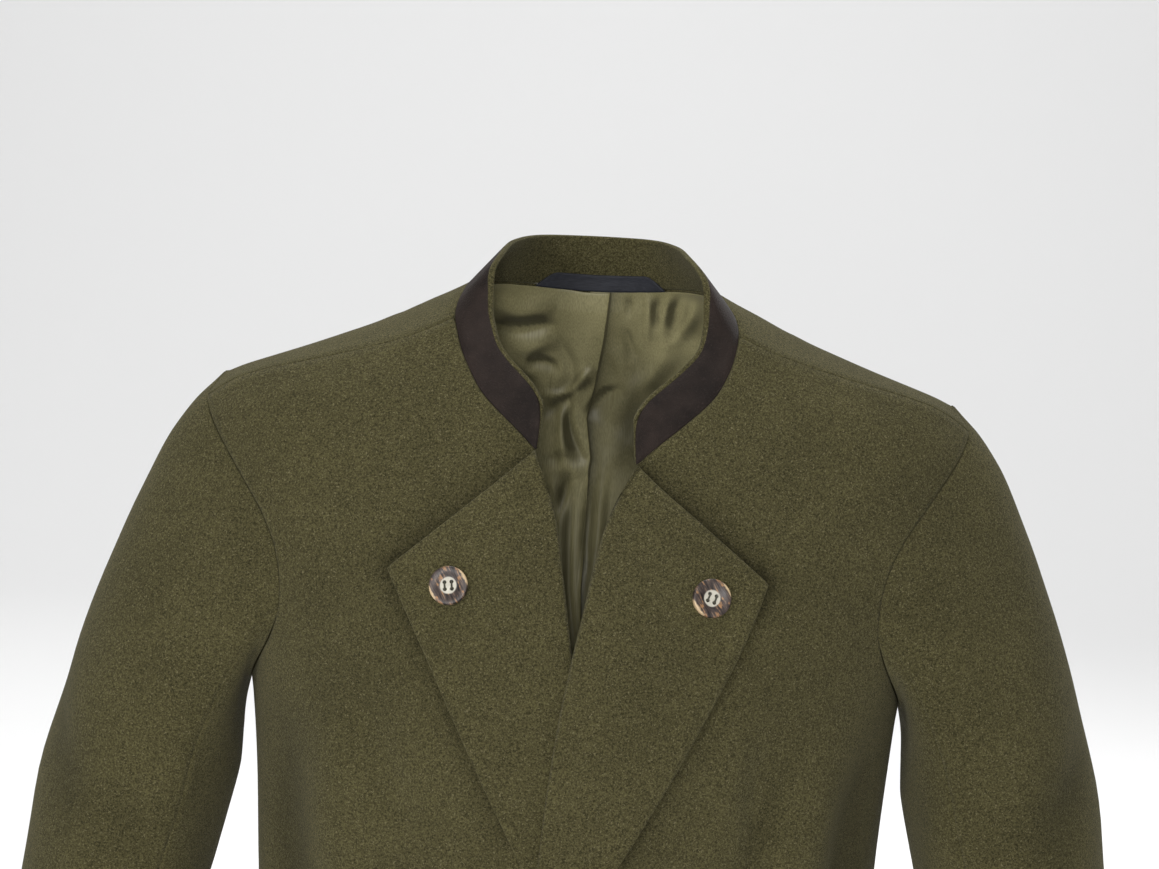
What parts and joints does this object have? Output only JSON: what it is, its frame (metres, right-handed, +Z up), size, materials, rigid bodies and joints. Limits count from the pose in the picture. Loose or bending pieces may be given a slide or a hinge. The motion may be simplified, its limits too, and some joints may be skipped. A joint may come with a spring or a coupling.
{
  "type": "wool stand-collar hunting jacket",
  "caption": "Hip-length olive wool jacket, filled out with no wearer: leather-faced stand collar, open neck, fronts turned back as buttoned corners, set-in sleeves.",
  "frame": {"origin": "midway between the two neck points, at the height where the shoulders carry the jacket", "axes": "+X towards the wearer's left, -Y out of the front, +Z up"},
  "size_m": [0.736, 0.2533, 0.7805],
  "materials": {
    "wool": "heathered olive wool, milled and matt",
    "collar_leather": "dark brown suede-like leather, soft sheen",
    "satin": "olive satin lining",
    "tape": "dark navy woven tape",
    "horn": "brown streaked horn, smoothly turned"
  },
  "bodies": {
    "root": {"front_left": "wool", "front_right": "wool", "back": "wool", "sleeve_left_top": "wool", "sleeve_left_under": "wool", "sleeve_right_top": "wool", "sleeve_right_under": "wool", "collar_inner": "wool", "collar_outer": "collar_leather", "lining_back": "satin", "hanger_loop": "tape", "button_lapel_left": "horn", "button_lapel_right": "horn", "button_closing_1": "horn", "button_closing_2": "horn", "button_closing_3": "horn"}
  },
  "joints": []
}
